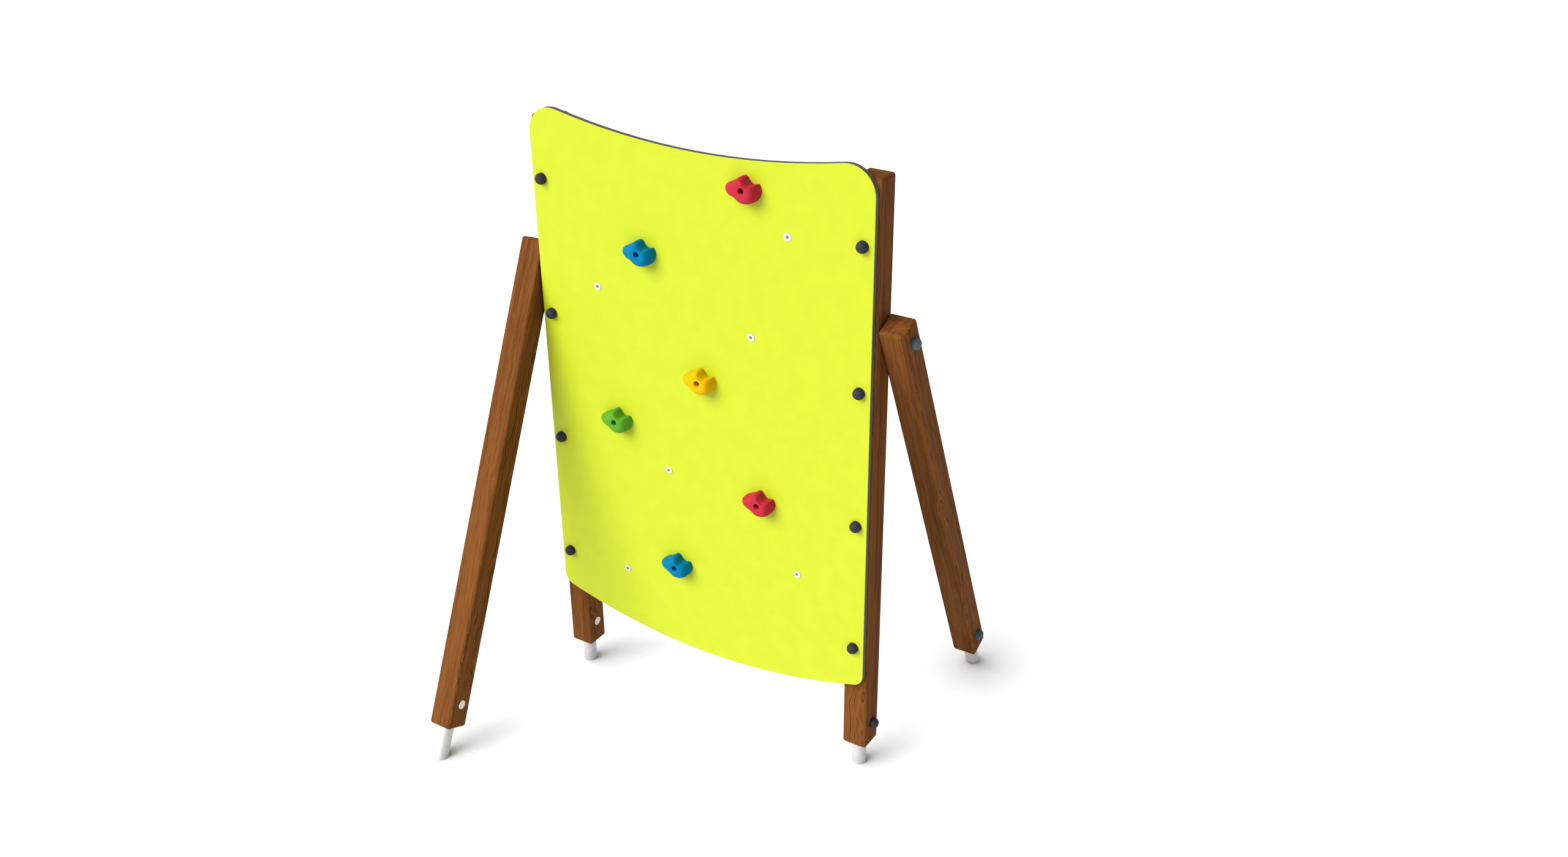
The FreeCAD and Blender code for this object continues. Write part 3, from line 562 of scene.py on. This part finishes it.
def domed_caps(node, finish):
    """One piece with a dome for every cap in the node."""
    grids = np.array([cap_grid(low, high) for low, high in places_of(node)])
    index = np.arange(grids[..., 0].size).reshape(grids.shape[:-1])
    piece = piece_from_grid(node + "_domed", grids, ring_faces(index[:, :-1], index[:, 1:]))
    piece.data.materials.append(finish)
    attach(piece, "root")
    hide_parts(node)
    print(piece.name, len(grids), "caps,", len(piece.data.polygons), "faces")


for joint, plastic in cap_finish.items():
    domed_caps(joint + "_caps", plastic)

# %% [markdown]
# ## Outline of a hold
# A climbing hold is polyester resin cast in a soft mould. This one is a thick star: a blunt lobe
# to the left, a horn on top, a second horn to the right, and a finger-deep saddle between the two
# horns. It could be sculpted by hand, or built from blobs that melt together, but both are hard to
# repeat. Here a few guide points round the bolt give its outline twice, once at the panel and once
# at the front, and a smooth closed curve runs through them.

# %% Hold outline
MM = 0.001
# Across and up at the panel, across and up at the front, and how square the shoulder is.
GUIDE = np.array([
    (44.5, -4.0, 39.5, 1.0, 3.3), (37.0, 14.5, 37.0, 19.5, 2.9), (27.0, 13.5, 26.5, 16.5, 2.2),
    (14.0, 13.0, 15.0, 18.5, 2.2), (3.0, 22.0, 3.0, 29.0, 2.4), (-4.0, 33.0, -6.0, 39.0, 2.8),
    (-15.0, 35.0, -20.0, 39.0, 2.9), (-30.0, 24.0, -35.0, 26.5, 2.7),
    (-49.0, 15.0, -60.0, 14.5, 2.6), (-63.0, 5.0, -77.0, 4.5, 2.6),
    (-65.0, -12.0, -80.0, -13.0, 2.6), (-52.0, -27.5, -64.0, -30.0, 2.6),
    (-31.0, -30.5, -38.0, -34.0, 2.8), (-10.0, -42.5, -14.0, -47.0, 3.0),
    (10.0, -46.0, 7.0, -47.5, 3.1), (30.0, -37.0, 28.0, -39.0, 3.3),
    (40.5, -21.0, 37.5, -21.0, 3.4)])
GUIDE[:, :4] *= MM


def closed_curve(anchors, steps=10):
    """A smooth closed curve through the anchors: between two of them every point is a cubic
    blend of the four nearest anchors, so the curve and its direction never jump."""
    t = np.arange(steps) / steps
    share = 0.5 * np.stack([-t + 2 * t**2 - t**3, 2 - 5 * t**2 + 3 * t**3,
                            t + 4 * t**2 - 3 * t**3, t**3 - t**2], axis=1)
    four = np.stack([np.roll(anchors, 1 - k, axis=0) for k in range(4)], axis=1)
    return np.einsum("tk,akc->atc", share, four).reshape(-1, anchors.shape[1])


hold_guide = closed_curve(GUIDE)
print("hold outline", len(GUIDE), "guide points,", len(hold_guide), "on the curve")

# %% [markdown]
# ## Skin of a hold
# The skin is one sheet of points wrapped round the bolt. Going round follows the outline. Going
# inward climbs the side, rolls over the shoulder and crosses the face to the lip of the bolt hole,
# while the outline slides from its shape at the panel to its shape at the front. Lines from the
# outline to the hole would cross in the narrow horns, so the lip is reached along slower
# directions that never double back.

# %% Hold skin
HOLD_DEPTH = 50 * MM
BORE = 10.5 * MM
LIP = 1.2 * MM
LOBE_DROP = 5 * MM
LOBE_FROM, LOBE_TO = 20 * MM, 50 * MM


def soft_step(value, low, high):
    """0 below low, 1 above high, and an S-shaped rise between them."""
    t = np.clip((value - low) / (high - low), 0, 1)
    return t * t * (3 - 2 * t)


def slow_directions(outline, waves=3):
    """The outline's own directions from the bolt, with only their slow part kept, so that going
    round the lip never doubles back."""
    around = 2 * math.pi * np.arange(len(outline)) / len(outline)
    own = np.unwrap(np.arctan2(outline[:, 1], outline[:, 0]))
    parts = np.fft.rfft(own - around)
    parts[waves:] = 0
    angle = around + np.fft.irfft(parts, len(outline))
    return np.column_stack([np.cos(angle), np.sin(angle)])


def outer_rows(guide, outward, rows=34):
    """Place on the skin = lip circle + (outline - lip circle) x spread, raised by rise x front
    height. Spread and rise are the two sides of a rounded square curve, spread^n + rise^n = 1,
    so n sets how tight the shoulder is. The front drops a little towards the left lobe."""
    n = guide[:, 4]
    lip = outward * (BORE + LIP)
    turn = np.linspace(0, math.pi / 2, rows)[:, None]
    size = (np.cos(turn)**n + np.sin(turn)**n)**(-1 / n)
    spread, rise = np.clip(size * np.cos(turn), 0, 1)[:, :, None], size * np.sin(turn)
    rim = guide[:, :2] + (guide[:, 2:4] - guide[:, :2]) * rise[:, :, None]
    plan = lip + (rim - lip) * spread
    x, z = plan[:, :, 0], plan[:, :, 1]
    front = HOLD_DEPTH - LOBE_DROP * soft_step(-x, LOBE_FROM, LOBE_TO)
    return np.stack([x, -rise * front, z], axis=2)


outward = slow_directions(hold_guide[:, 2:4])
skin_rows = outer_rows(hold_guide, outward)
print("outer skin", skin_rows.shape[:2], "points")

# %% [markdown]
# ## Bolt hole of a hold
# The hole is part of the same sheet, so the lip has no seam: it rolls in over a small radius, runs
# down to the seat of the bolt's washer, narrows to the bolt's own hole, and widens again at the
# back for the flange of the insert. Every step is a circle of points with a radius and a depth. A
# boolean cut would make the same hole, but it leaves ragged faces at the lip.

# %% Hold bore
SEAT = 14 * MM
BOLT_HOLE = 5.25 * MM
FLANGE_RADIUS, FLANGE_DEPTH = 13.8 * MM, 1.9 * MM


def bore_rows(outward):
    """Circles from the lip to the back: on the lip, radius = bore + lip x (1 - sin(turn)) and
    depth = front - lip x (1 - cos(turn)), and after it the steps of the hole."""
    turn = np.linspace(0, math.pi / 2, 5)[1:]
    radii = list(BORE + LIP * (1 - np.sin(turn)))
    depths = list(HOLD_DEPTH - LIP * (1 - np.cos(turn)))
    radii += [BORE, BORE, BOLT_HOLE, BOLT_HOLE, FLANGE_RADIUS, FLANGE_RADIUS]
    depths += [(depths[-1] + SEAT) / 2, SEAT, SEAT, FLANGE_DEPTH, FLANGE_DEPTH, 0.0]
    rings = np.array(radii)[:, None, None] * outward
    level = np.broadcast_to(-np.array(depths)[:, None], rings.shape[:2])
    return np.stack([rings[:, :, 0], level, rings[:, :, 1]], axis=2)


hold_grid = np.concatenate([skin_rows, bore_rows(outward)])
hold_index = np.arange(hold_grid[..., 0].size).reshape(hold_grid.shape[:-1])
hold_faces = ring_faces(hold_index, np.roll(hold_index, -1, axis=0))
print("hold grid", hold_grid.shape[:2], "points,", len(hold_faces), "faces")

# %% [markdown]
# ## Resin
# The resin is coloured right through, and sand in the mould leaves it dull with a fine tooth for
# grip. Where it is a little thicker or more worn, the shade deepens. One function makes the four
# colours from a clear shade and a deeper one.

# %% Resin
def cast_resin(name, colour, deep):
    """Colour runs from the clear shade to the deeper one with the cloud and the peel."""
    made, tree, shader, place = material(name)
    skin = use(tree, "moulded_skin", {"Place": place, "Grain": 0.0009})
    mask = maths(tree, "ADD", fade(tree, skin["Cloud"], 0.3, 0.7, 0.0, 0.5),
                 fade(tree, skin["Peel"], 0.45, 0.75, 0.0, 0.25))
    tree.links.new(blend(tree, mask, colour, deep), shader.inputs["Base Color"])
    tree.links.new(fade(tree, skin["Peel"], 0.3, 0.7, 0.45, 0.60), shader.inputs["Roughness"])
    shader.inputs["Specular IOR Level"].default_value = 0.03
    bump(tree, shader, skin["Peel"], 0.0002, 0.6)
    return made


RESINS = {"red": ((0.370, 0.022, 0.036, 1), (0.320, 0.016, 0.028, 1)),
          "blue": ((0.0005, 0.138, 0.275, 1), (0.0005, 0.116, 0.234, 1)),
          "yellow": ((0.570, 0.335, 0.001, 1), (0.510, 0.290, 0.001, 1)),
          "green": ((0.082, 0.262, 0.020, 1), (0.066, 0.225, 0.016, 1))}
resin = {hue: cast_resin("cast_resin_" + hue, *shades) for hue, shades in RESINS.items()}
print("resins:", ", ".join(resin))

# %% [markdown]
# ## Holds on their bolts
# All six holds come from the same mould, so the same points are used six times. One mesh could be
# shared by six objects, but every finished piece has its place in its own mesh, so the points are
# moved to each bolt instead. The frame's own hold tells where that is: its bolt sits a little to
# the right of the middle of its box and a little above it, and its back lies on the panel's face.
# The new piece replaces the frame's, which stays behind for the physics.

# %% Holds
panel_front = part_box("climbing_panel")[0].y
SPOT_SHIFT = (0.0041, 0.0041)
for node in sorted(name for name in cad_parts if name.startswith("hold_")):
    hue = node.split("_")[1]
    if hue not in resin:
        continue
    low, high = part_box(node)
    middle = (low + high) / 2
    spot = np.array([middle.x + SPOT_SHIFT[0], panel_front, middle.z + SPOT_SHIFT[1]])
    piece = piece_from_grid("cast_" + node, hold_grid + spot, hold_faces)
    piece.data.materials.append(resin[hue])
    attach(piece, "root")
    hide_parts(node)
    print(node, "box", [round(v, 4) for v in low], [round(v, 4) for v in high])

# %% [markdown]
# ## Floor
# A product studio has a white sweep that is lit until it is pure white, and the only shadows left
# on it are soft ones close to the feet. A plain grey floor would show the panel's whole shadow.
# So this floor glows, and the glow fades where things stand close over it. Ambient occlusion
# measures that: once straight up, and once leaning towards the lamp, which draws the fading out
# to the side away from the lamp.

# %% Floor
FLOOR_REACH = 45.0
FLOOR_GLOW = 0.98
SHADOW_REACH = 0.45
TOWARDS_LAMP = {"X": -0.45, "Y": -0.62, "Z": 0.64}
LEANING_POWER, OVERHEAD_POWER = 2.4, 0.6

floor_mesh = bpy.data.meshes.new("floor")
corners = [(-FLOOR_REACH, -FLOOR_REACH, 0), (FLOOR_REACH, -FLOOR_REACH, 0),
           (FLOOR_REACH, FLOOR_REACH, 0), (-FLOOR_REACH, FLOOR_REACH, 0)]
floor_mesh.from_pydata(corners, [], [(0, 1, 2, 3)])
floor = bpy.data.objects.new("floor", floor_mesh)
bpy.context.scene.collection.objects.link(floor)
made, tree, shader, _ = material("studio_floor")
shader.inputs["Base Color"].default_value = (0.30, 0.30, 0.30, 1)
shader.inputs["Roughness"].default_value = 0.9
shader.inputs["Emission Strength"].default_value = FLOOR_GLOW
leaning = put(tree, "ShaderNodeCombineXYZ", TOWARDS_LAMP).outputs[0]
open_leaning = put(tree, "ShaderNodeAmbientOcclusion",
                   {"Distance": SHADOW_REACH, "Normal": leaning}, samples=8).outputs["AO"]
open_overhead = put(tree, "ShaderNodeAmbientOcclusion", {"Distance": SHADOW_REACH},
                    samples=8).outputs["AO"]
glow = maths(tree, "MULTIPLY", maths(tree, "POWER", open_leaning, LEANING_POWER),
             maths(tree, "POWER", open_overhead, OVERHEAD_POWER))
tree.links.new(glow, shader.inputs["Emission Color"])
floor_mesh.materials.append(made)
print("floor reaches", FLOOR_REACH, "m each way")

# %% [markdown]
# ## Light
# One very wide lamp stands in front of the wall on the left and above it, like a large softbox:
# the faces towards it are bright, and the edges of the shadows are wide. An area lamp would do the
# same, but a sun lamp with a wide angle gives every piece the same light. The rest of the room
# gives an even, much weaker light. The background that the camera sees is plain white, and it is
# kept apart from the light that falls on the object. The Standard view shows colours as they are
# worked out, so white stays white.

# %% Light
LAMP_STRENGTH = 1.62 * math.pi
LAMP_WIDTH = math.radians(42)
LAMP_DIRECTION = (-0.45, -0.85, 0.75)
ROOM_STRENGTH = 0.42
WHITE = (1, 1, 1, 1)

lamp_data = bpy.data.lights.new("softbox", "SUN")
lamp_data.energy = LAMP_STRENGTH
lamp_data.angle = LAMP_WIDTH
lamp = bpy.data.objects.new("softbox", lamp_data)
azimuth = math.atan2(LAMP_DIRECTION[0], -LAMP_DIRECTION[1])
elevation = math.atan2(LAMP_DIRECTION[2], math.hypot(LAMP_DIRECTION[0], LAMP_DIRECTION[1]))
lamp.rotation_euler = (math.pi / 2 - elevation, 0, azimuth)
bpy.context.scene.collection.objects.link(lamp)

world = bpy.data.worlds.new("studio")
bpy.context.scene.world = world
world.use_nodes = True
tree = world.node_tree
tree.nodes.clear()
room = put(tree, "ShaderNodeBackground", {"Color": WHITE, "Strength": ROOM_STRENGTH})
backdrop = put(tree, "ShaderNodeBackground", {"Color": WHITE, "Strength": 1.0})
seen = put(tree, "ShaderNodeLightPath").outputs["Is Camera Ray"]
mixed = put(tree, "ShaderNodeMixShader", {0: seen, 1: room.outputs[0], 2: backdrop.outputs[0]})
put(tree, "ShaderNodeOutputWorld", {"Surface": mixed.outputs[0]})
bpy.context.scene.view_settings.view_transform = "Standard"
print("softbox from azimuth", round(math.degrees(azimuth), 1))
